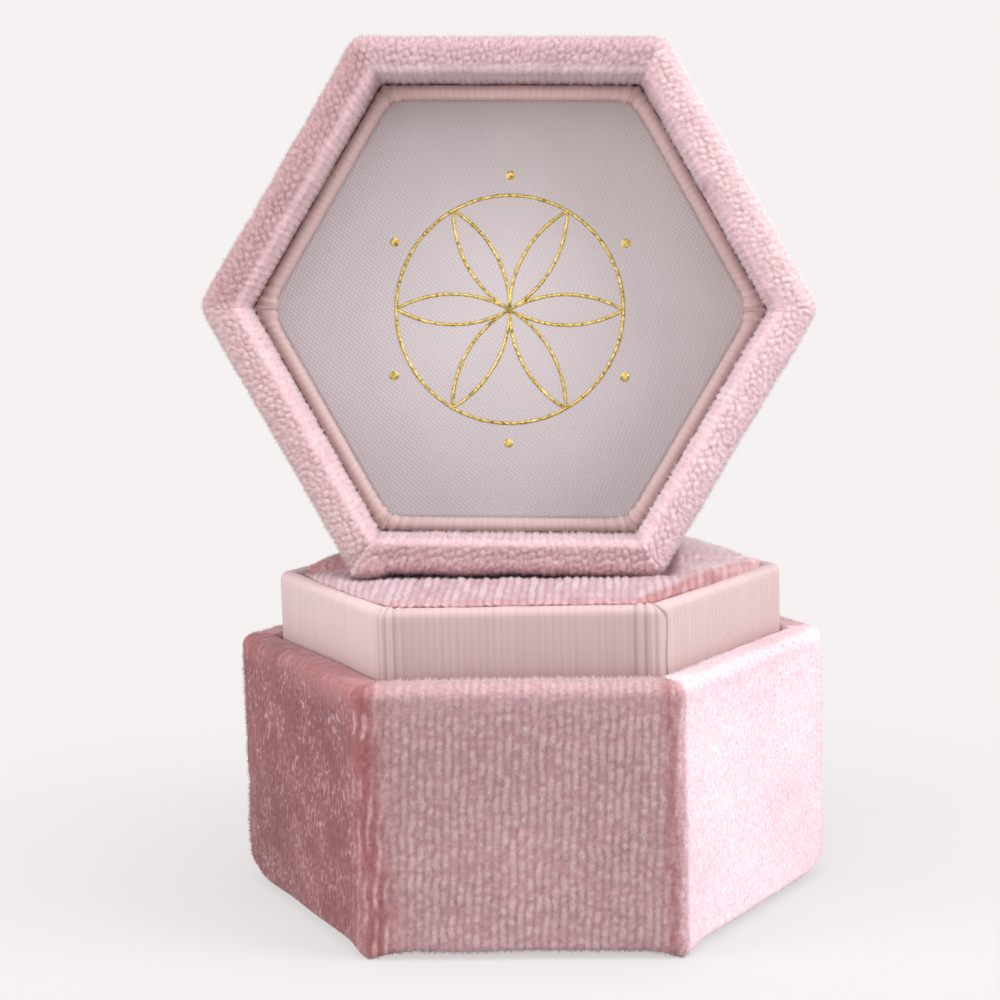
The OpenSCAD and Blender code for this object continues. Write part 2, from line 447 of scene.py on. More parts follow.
class Nodes(Tree):
    """A material round one principled shader."""

    def __init__(self, name):
        self.material = bpy.data.materials.new(name)
        super().__init__(self.material)
        self.shader = self.new("BsdfPrincipled")
        self.output = self.new("OutputMaterial", {0: self.shader.outputs[0]})

    def set(self, **values):
        for key, value in values.items():
            self.put(self.shader, key.replace("_", " "), value)

    def attribute(self, name, output="Vector"):
        return self.new("Attribute", attribute_name=name).outputs[output]

    def place(self):
        return self.new("TexCoord").outputs["Object"]

    def scaled(self, vector, scale):
        return self.new("VectorMath", {0: vector, 1: scale}, operation="MULTIPLY").outputs[0]

    def math(self, operation, *values):
        return self.new("Math", enumerate(values), operation=operation).outputs[0]

    def times(self, a, b):
        return self.math("MULTIPLY", a, b)

    def plus(self, a, b):
        return self.math("ADD", a, b)

    def noise(self, vector, scale, detail=2.0, roughness=0.55):
        sockets = {"Vector": vector, "Scale": scale, "Detail": detail, "Roughness": roughness}
        return self.new("TexNoise", sockets).outputs[0]

    def ramp(self, value, *stops):
        """A colour ramp, from (place, colour) or (place, grey) stops."""
        node = self.new("ValToRGB", {0: value})
        elements = node.color_ramp.elements
        for i, (at, colour) in enumerate(stops):
            element = elements[i] if i < 2 else elements.new(at)
            element.position = at
            element.color = (*np.broadcast_to(colour, 3), 1)
        return node.outputs[0]

    def tinted(self, *shades):
        """The piece's own tint, multiplied by each shade."""
        colour = self.attribute("tint", "Color")
        for shade in shades:
            sockets = {0: 1.0, 6: colour, 7: shade}
            colour = self.new("Mix", sockets, data_type="RGBA", blend_type="MULTIPLY").outputs[2]
        return colour

    def bump(self, height, strength, distance):
        node = self.new("Bump", {"Height": height, "Strength": strength, "Distance": distance})
        self.put(self.shader, "Normal", node.outputs[0])


def velvet_pile():
    n = Nodes("velvet_pile")
    fleck = n.ramp(n.noise(n.place(), 3500.0), (0.3, (0.9, 0.84, 0.84)), (0.7, 1.0))
    n.set(Base_Color=n.tinted(fleck), Roughness=0.7, Specular_IOR_Level=0.2)
    n.set(Sheen_Weight=0.12, Sheen_Roughness=0.35, Sheen_Tint=(1.0, 0.86, 0.9, 1))
    return n.material


def velvet_ground():
    n = Nodes("velvet_ground")
    fleck = n.ramp(n.noise(n.place(), 2600.0, 3.0), (0.3, (0.84, 0.72, 0.73)), (0.72, 1.0))
    n.set(Base_Color=n.tinted(fleck), Roughness=0.9, Specular_IOR_Level=0.15)
    n.set(Sheen_Weight=0.25, Sheen_Roughness=0.45, Sheen_Tint=(1.0, 0.85, 0.88, 1))
    n.bump(n.noise(n.place(), 2200.0, 3.0), 0.6, 0.00015)
    return n.material


def grosgrain():
    """Ribbed ribbon: weave holds the way along it and across it, in mm, and how plainly its picks show."""
    rib_pitch, pick_pitch = 0.7, 0.36
    n = Nodes("grosgrain")
    weave = n.attribute("weave")
    s, t, plain = n.new("SeparateXYZ", {0: weave}).outputs
    rib = n.math("SINE", n.times(s, 2 * pi / rib_pitch))
    pick = n.math("SINE", n.times(t, 2 * pi / pick_pitch))
    cell = n.times(n.times(n.plus(rib, 0.3), n.plus(pick, 0.3)), plain)
    faint = n.ramp(n.noise(n.scaled(weave, (0.35, 0.02, 0.0)), 1.0), (0.35, 0.03), (0.65, 0.12))
    cell = n.plus(n.times(cell, 0.45), n.times(rib, faint))
    cell = n.plus(cell, 0.45)
    soft = n.noise(n.scaled(weave, (1.2, 0.05, 0.0)), 1.0)
    tone = n.ramp(soft, (0.3, (0.94, 0.93, 0.93)), (0.65, 1.0))
    dots = n.ramp(cell, (0.1, (0.86, 0.82, 0.82)), (0.65, 1.0))
    n.set(Base_Color=n.tinted(tone, dots), Roughness=0.55, Specular_IOR_Level=0.4)
    n.set(Sheen_Weight=0.25, Sheen_Roughness=0.4, Sheen_Tint=(1.0, 0.95, 0.95, 1))
    n.bump(n.plus(cell, n.times(soft, 0.8)), 0.5, 0.00006)
    return n.material


def satin():
    """Satin with a diagonal twill: weave holds the lid's own x and y, in mm."""
    n = Nodes("satin")
    weave = n.attribute("weave")
    x, y, _ = n.new("SeparateXYZ", {0: weave}).outputs
    slip = n.times(n.noise(weave, 0.9), 1.6)
    a = n.plus(n.times(x, 0.94), n.times(y, 0.34))
    b = n.math("SUBTRACT", n.times(y, 0.77), n.times(x, 0.64))
    a = n.plus(n.math("SINE", n.plus(n.times(a, 2 * pi / 0.40), slip)), 1.0)
    b = n.plus(n.math("SINE", n.plus(n.times(b, 2 * pi / 0.36), slip)), 1.0)
    dot = n.times(n.times(a, b), 0.25)
    cloud = n.ramp(n.noise(weave, 0.09), (0.3, 0.94), (0.7, 1.0))
    spots = n.ramp(dot, (0.12, 0.87), (0.75, 1.0), (0.97, 1.0))
    n.set(Base_Color=n.tinted(cloud, spots), Roughness=0.42, Specular_IOR_Level=0.55)
    n.set(Sheen_Weight=0.3, Sheen_Roughness=0.3, Sheen_Tint=(0.97, 0.97, 1.0, 1))
    n.bump(dot, 0.45, 0.00005)
    return n.material


def foil():
    n = Nodes("gold_foil")
    place = n.place()
    fleck = n.noise(place, 2600.0, 3.0, 0.7)
    shade = n.ramp(fleck, (0.33, (0.16, 0.10, 0.02)), (0.47, (0.66, 0.47, 0.09)), (0.7, (1.0, 0.85, 0.35)))
    rough = n.ramp(n.noise(place, 900.0), (0.3, 0.28), (0.7, 0.5))
    n.set(Base_Color=shade, Roughness=rough, Metallic=0.85)
    n.bump(n.noise(place, 3200.0), 0.7, 0.0001)
    return n.material


def greyboard():
    n = Nodes("greyboard")
    fibre = n.noise(n.scaled(n.place(), (1.0, 1.0, 3.0)), 900.0, 4.0, 0.65)
    shade = n.ramp(fibre, (0.3, (0.25, 0.2, 0.15)), (0.7, (0.42, 0.35, 0.27)))
    n.set(Base_Color=shade, Roughness=0.9)
    n.bump(fibre, 0.4, 0.0001)
    return n.material


def foam():
    n = Nodes("foam")
    cell = n.new("TexVoronoi", {"Vector": n.place(), "Scale": 1800.0}).outputs[0]
    shade = n.ramp(cell, (0.1, (0.85, 0.82, 0.74)), (0.6, (0.62, 0.58, 0.5)))
    n.set(Base_Color=shade, Roughness=0.95)
    n.bump(cell, 0.6, 0.0002)
    return n.material


PILE, GROUND, RIBBON_CLOTH, SATIN_CLOTH = velvet_pile(), velvet_ground(), grosgrain(), satin()
FOIL, GREYBOARD, FOAM = foil(), greyboard(), foam()

# ---- velvet
# Its colours: the fibre's own, a red for painted shade where one sees down into the pile, and the painted
# shade that darkens the ground between the pile
ROSE = np.array([0.66, 0.41, 0.44])
PALE = np.array([0.86, 0.64, 0.68])
RED_IN_SHADE = np.array([0.52, 0.235, 0.23])
GROUND_PAINTED_SHADE = np.array([0.95, 0.86, 0.87])
ROW = PERIMETER / round(PERIMETER / 0.8)


def tufts(s, t, seed, run=0.8, lean=-0.05, waver=0.2):
    """The woven rows of the pile, ROW apart along s and running along t: 0 in the gaps, 1 on a tuft."""
    across = s + lean * t + waver * noise(s / 1.7, t / 1.3, 0.5, seed)
    row = whole(across / ROW)
    ridge = np.sin(pi * np.clip(across / ROW - row, 0, 1)) ** 1.2
    offset = lattice(row, 0 * row, 5, seed) * 9
    dash = step(-0.35, 0.35, noise(t / run + offset, row * 3.7, 0.0, seed + 1))
    rough = noise(s / 0.33, t / 0.4, 0.0, seed + 2)
    return np.clip(0.14 + 0.34 * ridge + 0.56 * ridge * dash + 0.2 * rough, 0, 1)


def nap_painted_shade(colour, level):
    """The pile's colour with painted shade and light: darker and redder in the gaps, where one sees down into
    it, and lighter on the tufts.
    """
    return mix(colour * (0.80, 0.63, 0.65), colour * 1.1, np.clip(level, 0, 1))


def by_face(s, colours, soft=1.0):
    """A colour for each of the six faces, front first and then round to the right. The tables it reads give
    each face's own colour with painted light and shade.
    """
    place = (np.asarray(s) / SIDE) % 6.0
    near = np.round(place)
    offset = (place - near) * SIDE
    colours = np.array(colours)
    here = colours[near.astype(int) % 6]
    after = colours[(near.astype(int) + np.where(offset > 0, 1, -1)) % 6]
    share = 0.5 * step(CORNER - soft, CORNER, np.abs(offset))
    return here * (1 - share[..., None]) + after * share[..., None]


def face_places(points, quads):
    """The points' normals, and each face's middle and normal."""
    normals = surface_normals(points, quads)
    return normals, points.reshape(-1, 3)[quads].mean(1), normals[quads].mean(1)


# ---- the base's skin
base_corners = [
    (BOARD, 0.06, 0, 0.5),
    (FACE, 0.06, 0.9, 0.24),
    (FACE, BASE_HEIGHT - 0.05, 1.25, 0.3),
    (OPENING, BASE_HEIGHT - 0.05, 0.7, 0.6),
    (OPENING, BASE_HEIGHT - TURN_IN_DEPTH, 0, 0.5),
    (CAVITY, BASE_HEIGHT - TURN_IN_DEPTH, 0, 2.5),
    (CAVITY, BASE_HEIGHT - VELVET - 0.1, 0, 2.0),
    (BOARD, BASE_HEIGHT - VELVET - 0.1, 0, 6.0),
]
# each face's velvet colour with painted light and shade: lightest on the right faces, darkest on the left
base_colour_and_light_by_face = [
    (0.59, 0.485, 0.50), (0.98, 0.86, 0.92), (0.92, 0.78, 0.83),
    (0.70, 0.50, 0.53), (0.56, 0.38, 0.41), (0.288, 0.144, 0.148),
]


def base_coat(s, p):
    """The base's colour, how raised its pile is, and where it parts, at a place on it."""
    s = around(s)
    z = p[..., 2] - np.clip(FACE - half_width(p), 0, 5)  # goes on over the top edge
    cloud, broad = clouds(p, 2.6, 5), clouds(p, 9, 6, 2)
    level = tufts(s, z, 31, 0.45)
    streak = fbm(s / 0.25, z / 0.36, 0, 33, 2)
    speck = np.clip(fbm(s / 0.26, z / 0.32, 0, 34, 2) - 0.2, 0, 1)
    left = step(-CORNER + 0.4, -CORNER - 0.4, s) * step(-TIP - 1.0, -TIP + 1.5, s)
    right = step(CORNER + 0.2, CORNER + 1.0, s) * step(TIP + 2.6, TIP + 0.6, s)
    # rows show most in front; the left is crushed and mottled, and the right lies smooth towards the light
    crushed = 0.22 + 0.62 * streak + 0.6 * cloud + 0.4 * broad + 1.1 * speck * step(-0.5, 0.6, cloud)
    smooth = 0.88 + 0.12 * streak
    tone = (1.12 * level - 0.05) * (1 - left - right) + crushed * left + smooth * right
    colour = nap_painted_shade(by_face(s, base_colour_and_light_by_face, 1.2), tone) * (1 + 0.06 * broad + 0.04 * cloud)[..., None]
    colour = mix(colour, (0.56, 0.40, 0.43), np.clip(left * speck * (0.85 + cloud), 0, 1))
    # painted shade: the left face darker towards its far end and its foot
    painted_left_shade = left * step(-1.6 * CORNER, -2.8 * CORNER, s) * step(17, 4, z)
    colour = times(colour, 1 - 0.2 * painted_left_shade)
    rim = step(BASE_HEIGHT - 3.4 + 1.5 * cloud, BASE_HEIGHT - 1.0, p[..., 2])
    # painted shade: the top edge of the left face takes the red of velvet in shade, most towards its front
    # corner
    reddest = 0.4 + 0.6 * step(-2.4 * CORNER, -1.3 * CORNER, s)
    colour = mix(colour, RED_IN_SHADE * (0.86, 0.96, 0.98), 0.7 * rim * left * reddest)
    colour = mix(colour, (0.58, 0.44, 0.455), 0.6 * rim * (1 - left) * (1 - right))
    # the pile parts beside the two front corners, and one sees down into it: there it is painted darker and
    # redder as shade
    at_left, at_right = -CORNER + 1.5 - 0.05 * z, CORNER - 1.0
    ragged = 0.35 * noise(z / 1.1, 0, 0, 37) + 0.2 * noise(z / 0.4, 0, 0, 38)
    parted = bell(s + ragged, at_left, 1.9) + 0.75 * bell(s + 0.5 * ragged, at_right, 0.8)
    parted = np.clip(parted, 0, 1)
    wave = s - 0.09 * z + 0.25 * noise(z / 2, 0, 0, 36)
    slant = step(-0.1, 0.95, np.cos(2 * pi * wave / 1.1))
    slant = slant * step(-0.55, 0.2, noise(s / 1.1, z / 2.0, 0, 35)) * (0.8 + 0.3 * streak)
    colour = mix(colour, nap_painted_shade(RED_IN_SHADE * (0.70, 0.68, 0.68), 0.5 + 0.5 * streak), parted * 0.9)
    streaked = np.clip(bell(s, at_left + 0.2, 2.3) + 0.75 * bell(s, at_right, 0.8), 0, 1)
    colour = mix(colour, (0.71, 0.53, 0.53), streaked * slant * 0.9)
    # painted shade: redder and darker round the left side tip
    colour = mix(colour, RED_IN_SHADE * 0.85, 0.6 * bell(s, -TIP, 1.6))
    # painted shade: the top edge of the right faces a little darker, where most light falls on it
    colour = times(colour, 1 - 0.08 * rim * right)
    relief = level * (1 - 0.6 * left - 0.75 * right) + (left + right) * 0.15 * streak
    return np.clip(colour, 0, 1), relief * (1 - 0.4 * parted), parted


seen_faces, hidden_face = 144, 52
along = [seen_faces, seen_faces, hidden_face, hidden_face, hidden_face, seen_faces]
P, N, S, T, Q = sweep(base_corners, edge_radius=2.3, outer_half=OUTER, along=along, turn=9)
half = half_width(P)
shown = (half > OPENING - 0.3) & ((half > BOARD - 0.2) | (P[..., 2] > BASE_HEIGHT - 0.8))
colour, level, parted = base_coat(S, P)
lump = clouds(P, 5, 21) * 0.1
swell = 0.16 * bell(from_corner(S), 0, 2.5) * bell(P[..., 2], 0.0, 4.0)
push = lump + swell + 0.14 * (level - 0.6) * step(0.1, 1.0, P[..., 2])
P = pushed(P, N, push, shown)
# its foot hangs a little low at the corners, and its two side tips are rounded off
low_edge = np.where(shown, np.exp(-np.maximum(P[..., 2], 0) / 1.2), 0)
tips = bell(np.abs(S), TIP, 2.4)
P[..., 2] = P[..., 2] + (0.22 - 0.6 * bell(from_corner(S), 0, 2.2) + 1.3 * tips) * low_edge
P = P * (1 - 0.035 * (tips * low_edge)[..., None] * (1, 1, 0))
base_skin = make("base_velvet_skin", P, Q, "base", GROUND, colour * GROUND_PAINTED_SHADE)
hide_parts("base_side_velvet")

normals, mid, face_n = face_places(P, Q)
outside = (half_width(mid) > BOARD) & (np.sum(face_n[:, :2] * mid[:, :2], 1) > 0)
keep = outside | ((face_n[:, 2] > 0.3) & (mid[:, 2] > BASE_HEIGHT - 1.2))
keep = keep * np.where(mid[:, 1] < 1.5, 1.0, 0.55)
root, normal, turnings = sample(P, Q, density=30, seed=41, keep=keep, values=(normals, turning(S)))
rng, count = chance(42), len(root)
s = way_round(turnings)
colour, level, parted = base_coat(s, root)
length = (0.34 + 0.16 * level + 0.1 * rng.random(count)) * (1 - 0.3 * parted)
lift = np.radians(40 + 18 * level + 13 * rng.standard_normal(count))
on_left = step(-CORNER + 0.5, -CORNER - 1.0, s) * step(-TIP + 0.5, -TIP + 2.5, s)
lift, length = lift * (1 - 0.5 * on_left), length * (1 - 0.3 * on_left)
tip = bell(np.abs(s), TIP, 4.0) * step(BASE_HEIGHT - 2.5, BASE_HEIGHT - 1.0, root[:, 2])
lift, length = lift * (1 - 0.4 * tip), length * (1 - 0.35 * tip)
comb = -UP - outward(root) * (1.6 * step(0.3, 0.9, normal[:, 2]))[:, None]
wild = 0.35 + 0.6 * step(-CORNER + 0.5, -CORNER - 0.5, s)
comb = comb + np.cross(normal, UP) * 0.1 + wild[:, None] * rng.standard_normal((count, 3))
fade = 1.0 + 0.1 * rng.standard_normal(count)
width = 0.05 + 0.04 * rng.random(count)
lift = np.clip(lift, 0.2, 1.1)
strands("base_pile", "base", root, unit(normal), comb, length, width, lift, colour, fade)

# ---- the velvet under the base
# its heights go from the hidden side's middle, round the edge, to the middle of the side that shows
heights = [(h, 0.75) for h in (0, 8, 16, 22, 24.4)] + [(25.0, 0.6), (25.12, 0.4), (25.0, 0.14), (24.6, 0.04)]
heights += [(h, 0.03) for h in (23, 18, 12, 6, 0)]
D, DQ = disc(BOARD, radius=1.2, step_size=0.9, heights=heights)
cloud = clouds(D, 4, 77)
D[..., 2] += np.where(D[..., 2] < 0.3, 0.1 * np.abs(cloud), 0)
tint = mix(ROSE, PALE, np.clip(0.3 + 0.4 * cloud, 0, 1)) * 0.85
bottom = make("base_underside_velvet", D, DQ[:, ::-1], "base", GROUND, tint)
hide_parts("base_bottom_velvet")

# ---- the collar's ribbon
# each face's ribbon colour with painted light and shade: darkest in front
collar_colour_and_light_by_face = [
    (0.51, 0.377, 0.376), (0.58, 0.45, 0.45), (0.56, 0.43, 0.43),
    (0.56, 0.43, 0.43), (0.56, 0.43, 0.43), (0.62, 0.475, 0.485),
]
collar_corners = [
    (COLLAR, BASE_HEIGHT - RIBBON_TUCK, 0, 0.5),
    (COLLAR, COLLAR_TOP, 0.8, 0.3),
    (COLLAR_INNER, COLLAR_TOP, 1.1, 0.4),
    (COLLAR_INNER, COLLAR_TOP - RIBBON_FOLD, 0, 0.5),
    (COLLAR_FOLD, COLLAR_TOP - RIBBON_FOLD, 0, 2.0),
    (COLLAR_FOLD, COLLAR_TOP - RIBBON, 0, 2.0),
    (COLLAR_CARD, COLLAR_TOP - RIBBON, 0, 4.0),
    (COLLAR_CARD, BASE_HEIGHT - RIBBON_TUCK, 0, 2.0),
]
P, N, S, T, Q = sweep(collar_corners, edge_radius=2.0, outer_half=COLLAR, along=150, turn=16)
half_side = COLLAR * T30
S = S * (12 * half_side / PERIMETER)
z = P[..., 2]
shown = (N[..., 2] > -0.1) & (np.hypot(P[..., 0], P[..., 1]) > COLLAR_FOLD)
outer = step(BASE_HEIGHT - 1.5, BASE_HEIGHT - 0.5, z) * (half_width(P) > COLLAR_FOLD)
# it creases beside the two front corners, and its ends lap at the right one. Both ways start at the corner
at_left, at_right = S + half_side + 0.4, S - half_side - 0.4
ridges = 0.16 * (bell(at_left, 0.45, 0.24) + bell(at_left, 1.25, 0.24) + 0.6 * bell(at_left, 2.05, 0.24))
ridges += 0.17 * (bell(at_right, -1.9, 0.27) + bell(at_right, -0.95, 0.27))
furrows = sum(share * bell(at_left, x, 0.13) for x, share in ((0.05, 1), (0.85, 1), (1.65, 1), (2.4, 0.6)))
furrows += bell(at_right, -2.37, 0.14) + bell(at_right, -1.42, 0.14) + 0.8 * bell(at_right, -0.48, 0.13)
seam = 0.75 - 0.95 * step(COLLAR_TOP - 1.4, COLLAR_TOP + 0.2, z) + 0.12 * np.sin(z * 1.1)
lap = 0.2 * step(-0.9, 0.1, at_right) * (1 - step(seam, seam + 0.14, at_right))
groove = -0.12 * bell(at_right, seam + 0.28, 0.19)
push = (ridges + lap + groove - 0.05 * furrows) * outer + 0.035 * noise(S * 0.8, T * 0.05, 0, 8)
P = pushed(P, N, push, shown)
z = P[..., 2]
# painted shade in the creases and a painted shadow in the groove along the lapped end's seam, and painted
# light growing towards the top
shade = (1 - 0.22 * furrows * outer) * (1 - 0.72 * bell(at_right, seam + 0.27, 0.28) * outer)
lit = 0.93 + 0.09 * step(BASE_HEIGHT, COLLAR_TOP - 1.5, z) + 0.1 * step(COLLAR_TOP - 1.0, COLLAR_TOP - 0.1, z)
shade = shade * lit
tint = by_face(S * PERIMETER / (12 * half_side), collar_colour_and_light_by_face, 3.0) * shade[..., None]
# painted shade at the foot, where the ribbon goes down into the velvet
tint = mix(tint, tint * (0.86, 0.76, 0.73), 0.6 * step(BASE_HEIGHT + 1.4, BASE_HEIGHT - 0.2, z))
dots = 0.15 + 0.85 * step(4.0, 11.0, np.abs(S) - half_side)
dots = dots + 0.5 * step(1.6, 4.6, at_right) * step(11.0, 5.0, at_right)
weave = np.stack([S, T, np.clip(dots, 0, 1)], -1)
collar = make("collar_ribbon_skin", P, Q, "base", RIBBON_CLOTH, tint, weave)
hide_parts("collar_ribbon")


# ---- the ring pad's two halves
def lid_underside(x, y):
    """Height of the standing lid's lower side over a place on the pad."""
    n = LID_M[:3, 1]
    q = n * OUTER + LID_M[:3, 3]
    return q[2] - (n[0] * (x - q[0]) + n[1] * (y - q[1])) / n[2]


def from_slant(half, x, y):
    """How far a place is inside a hexagon's slanted sides."""
    return half - 0.866 * np.abs(x) - 0.5 * np.abs(y)


def pad_coat(x, y, z):
    """The pad's colour and relief: rows run from front to back over its rolled edges."""
    level = tufts(x, y + 0.5 * z, 88, 3.2, 0.0, 0.14)
    cloud = fbm(x / 3, y / 3, z / 3, 91)
    colour = mix((0.58, 0.47, 0.495), (0.66, 0.58, 0.62), np.clip(0.5 + 0.5 * cloud, 0, 1))
    # on the right it lies matted, and painted light there lifts the shade beside the lid's corner
    matted_and_painted_light = step(8, 12, x) * step(-11, -7, y)
    level = level * (1 - 0.65 * matted_and_painted_light) + 0.65 * matted_and_painted_light * (0.65 + 0.5 * noise(x / 0.45, y / 0.45, 0, 92))
    colour = mix(colour, (0.92, 0.85, 0.87), 0.9 * matted_and_painted_light)
    # painted shade: the roll is painted darker and redder where it is seen into, at the front right, along
    # the back left and along its front and back edges
    edge = step(-0.5, -1.15, from_slant(PAD, x, y) - 0.6 * bell(x, 10.5, 3))
    edge = edge * step(6, 10, x) * step(0, -3, y)
    colour = mix(colour, (0.48, 0.26, 0.255), (0.9 - 0.35 * level) * edge)
    colour = mix(colour, RED_IN_SHADE, 0.5 * step(-12, -18, x) * step(-4, 0, y))
    colour = mix(colour, RED_IN_SHADE, 0.3 * step(0.7, -0.3, PAD - np.abs(y) + 0.4 * cloud))
    colour = np.clip(nap_painted_shade(colour, 1.25 * level - 0.05), 0, 1)
    # painted shade: darker and redder down its sides
    return mix(colour, RED_IN_SHADE * 0.8, 0.75 * step(PAD_TOP - 0.2, PAD_TOP - 3.0, z)), level


def drop(d, r):
    """How far a rounded edge of radius r has fallen, d in from where it ends."""
    return r - np.sqrt(np.maximum(r * r - (r - np.clip(d, 0, r)) ** 2, 0))


def pad_top(side):
    """The crowned top of half the pad, as a grid of points. side is -1 in front of the slot, 1 behind it."""
    a, b = np.linspace(-1, 1, 301), np.linspace(-1, 1, 85)
    u = 0.45 * a + 0.55 * np.sin(a * pi / 2)
    v = 0.5 + 0.5 * (0.35 * b + 0.65 * np.sin(b * pi / 2))
    y = (HALF_SLOT + v * (PAD_EDGE - HALF_SLOT))[:, None]
    reach = 2 * PAD_EDGE / sqrt(3) - y / sqrt(3) - 1.3 * np.exp(-(y - HALF_SLOT) / 0.9)
    x = u[None, :] * reach
    y = np.broadcast_to(y * side, x.shape)
    slant = from_slant(PAD_EDGE, x, y)
    fall = drop(PAD_EDGE - np.abs(y), 1.1) + drop(np.abs(y) - HALF_SLOT, 1.2) + drop(slant, 1.0)
    if side < 0:
        top = PAD_TOP + 1.55 + 0.6 * bell(y, -9.5, 6.5) + 0.25 * step(8, 16, x) - 0.5 * step(-17, -22, x)
    else:
        top = PAD_TOP + 1.4 + 0.7 * bell(x, -17, 4) + 0.5 * bell(x, 17, 4)
        top = top + 0.3 * step(9, 14, y) - 0.4 * step(20, 23, np.abs(x))
    # the lid stands over the middle, and the foam gives way under it
    covered = step(19.5, 14.5, np.abs(x + 1)) * step(-14.0, -11.0, y) * step(11.5, 7.5, y)
    under = lid_underside(x, y) - 0.45 + 6.0 * (1 - covered)
    top = -0.35 * np.logaddexp(-top / 0.35, -under / 0.35)
    z = top - np.minimum(fall, 2.2)
    level = pad_coat(x, y, z)[1]
    z = z + (0.16 * (level - 0.6) + 0.05 * fbm(x / 4, y / 4, 0, 90)) * step(1.9, 0.7, fall)
    # above the collar's wall it swells out over the rounded rim
    flare = 1.4 * step(31.5, 32.4, top - fall) * step(4.2, 0.3, np.minimum(slant, PAD_EDGE - np.abs(y)))
    flare = flare / np.maximum(np.hypot(x, y), 1)
    return np.stack([x * (1 + flare), y * (1 + flare * step(0.4, 6, np.abs(y))), z], -1)


def pad_half(side):
    """Half the pad: its top, sides and flat underside. Gives points, the top's quads, the sides' quads and
    the underside's tris."""
    top = pad_top(side)
    r, c = top.shape[:2]
    quads = grid(r, c, closed_columns=False)
    index = np.arange(r * c).reshape(r, c)
    loop = np.concatenate([index[0], index[1:, -1], index[-1, -2::-1], index[-2:0:-1, 0]])
    edge = top.reshape(-1, 3)[loop]
    points, rows = [top.reshape(-1, 3)], [loop]
    for k in np.linspace(0, 1, 13)[1:]:
        ring = edge.copy()
        ring[:, 2] = edge[:, 2] + (PAD_BOTTOM - edge[:, 2]) * k
        bulge = 0.05 * sin(pi * k)
        ring[:, :2] *= 1 + bulge / np.maximum(norm(edge[:, :2], axis=1), 1)[:, None]
        rows.append(np.arange(len(loop)) + sum(len(p) for p in points))
        points.append(ring)
    side_quads = [
        np.stack([upper, lower, np.roll(lower, -1), np.roll(upper, -1)], 1)
        for upper, lower in zip(rows[:-1], rows[1:])
    ]
    side_quads = np.concatenate(side_quads)
    middle = sum(len(p) for p in points)
    points.append(np.array([[0, side * 9.0, PAD_BOTTOM]]))
    tris = np.stack([np.full(len(loop), middle), np.roll(rows[-1], -1), rows[-1]], 1)
    if side < 0:
        quads, side_quads, tris = quads[:, ::-1], side_quads[:, ::-1], tris[:, ::-1]
    return np.concatenate(points), quads, side_quads, tris


roots, outs = [], []
for side, name in ((-1, "front"), (1, "back")):
    p, quads, side_quads, tris = pad_half(side)
    faces = np.concatenate([quads, side_quads])
    # the ground under the pile is painted darker, as the shade between the pile
    tint = pad_coat(*p.T)[0] * (0.97, 0.9, 0.91)
    pad = make(f"pad_velvet_{name}_skin", p, [faces, tris], "ring_pad", GROUND, tint)
    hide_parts(f"pad_velvet_{name}")
    n = surface_normals(p, faces)
    keep = np.concatenate([np.ones(len(quads)), 0.35 * (p[side_quads][..., 2].mean(1) > PAD_TOP - 6)])
    root, normal = sample(p, faces, density=46, seed=95 + side, keep=keep, values=(n,))
    roots.append(root)
    outs.append(unit(normal))
root, normal = np.concatenate(roots), np.concatenate(outs)
rng, count = chance(97), len(root)
colour, level = pad_coat(*root.T)
comb = np.array([0, 1.0, 0]) + 0.4 * rng.standard_normal((count, 3))
pressed = 1 - 0.6 * step(COLLAR_TOP - 0.2, COLLAR_TOP - 1.2, root[:, 2])
length = (0.26 + 0.14 * level + 0.08 * rng.random(count)) * pressed
width = 0.05 + 0.04 * rng.random(count)
lift = np.clip(np.radians(46 + 12 * level + 12 * rng.standard_normal(count)) * pressed, 0.1, 1.3)
fade = 1 + 0.08 * rng.standard_normal(count)
strands("pad_pile", "ring_pad", root, normal, comb, length, width, lift, colour, fade)

# ---- the lid's skin
lid_corners = [
    (FACE, 0.1, 1.3, 0.4),
    (FACE, LID_DEPTH - 0.05, 0.9, 0.4),
    (BOARD, LID_DEPTH - 0.05, 0, 2.0),
    (BOARD, VELVET, 0, 2.0),
    (CAVITY, VELVET, 0, 2.0),
    (CAVITY, TRIM_DEPTH + 0.7, 0, 0.5),
    (OPENING, TRIM_DEPTH + 0.7, 0, 0.3),
    (OPENING, 0.1, 1.15, 0.2),
]
# as it stands: top, upper right, lower right, bottom, lower left, upper left. Each face's colour with its
# painted light and shade
lid_colour_and_light_by_face = [
    (0.61, 0.53, 0.555), (0.78, 0.715, 0.735), (0.80, 0.735, 0.77),
    (0.54, 0.455, 0.47), (0.68, 0.60, 0.61), (0.54, 0.435, 0.445),
]
lid_band_colour_and_light = [
    (1.0, 0.92, 0.96), (0.90, 0.75, 0.80), (0.92, 0.76, 0.81),
    (0.80, 0.67, 0.71), (0.86, 0.72, 0.76), (0.84, 0.70, 0.75),
]


